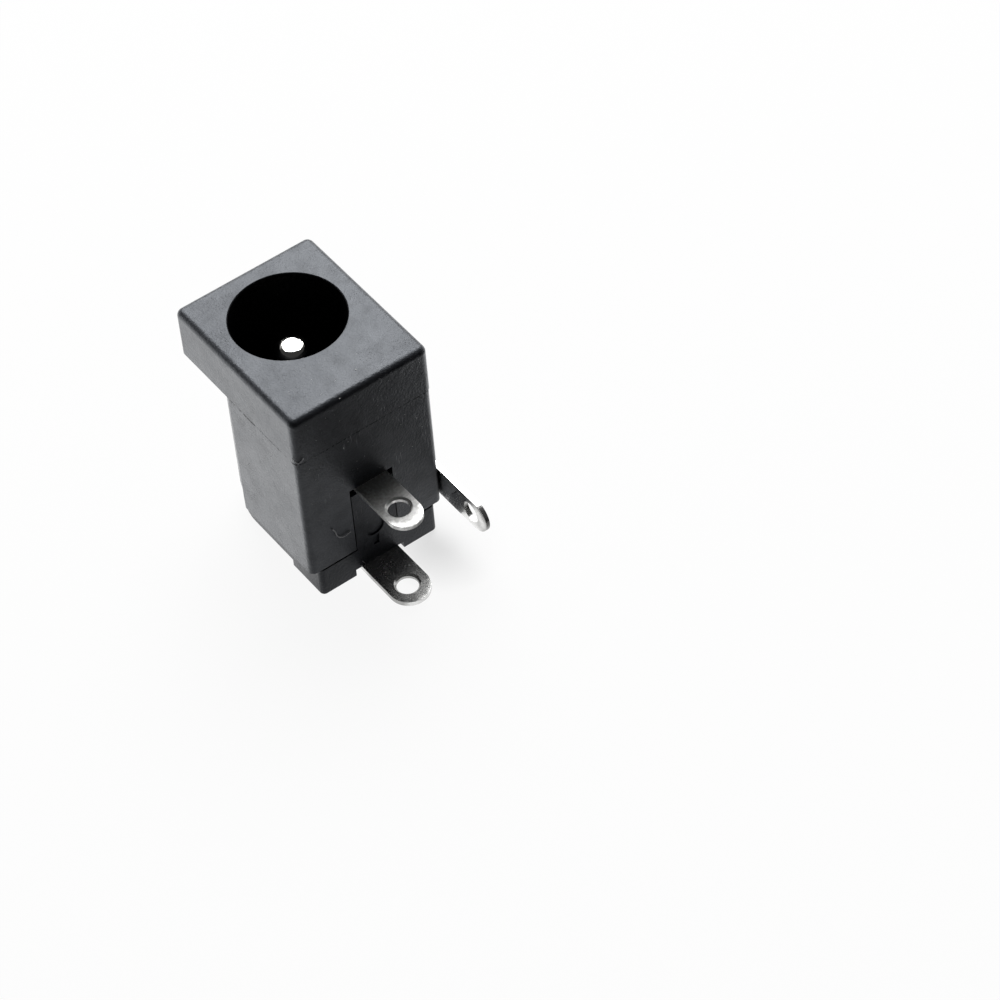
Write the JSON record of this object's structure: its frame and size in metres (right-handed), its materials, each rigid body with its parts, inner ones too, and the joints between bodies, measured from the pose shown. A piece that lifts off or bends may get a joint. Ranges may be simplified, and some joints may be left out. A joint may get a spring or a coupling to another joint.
{
  "type": "dc barrel jack",
  "caption": "Board-mount DC barrel jack: black moulded housing with a square front flange, round socket with a centre pin, and tinned solder tails with eyes.",
  "frame": {"origin": "on the plug axis, at the plane of the rear feet and the pin's peened end, which the jack stands on", "axes": "+Z along the plug axis and out of the mouth, -Y towards the circuit board, +X towards the side terminal"},
  "size_m": [0.0091, 0.0152, 0.0143],
  "materials": {
    "black_moulding": "satin black moulded nylon with a fine spark-eroded grain",
    "bright_plating": "bright tin plate over punched and turned brass"
  },
  "bodies": {
    "root": {"housing": "black_moulding", "rear_insert": "black_moulding", "centre_pin": "bright_plating", "rear_terminal": "bright_plating", "sleeve_spring": "bright_plating", "side_terminal": "bright_plating"}
  },
  "joints": []
}
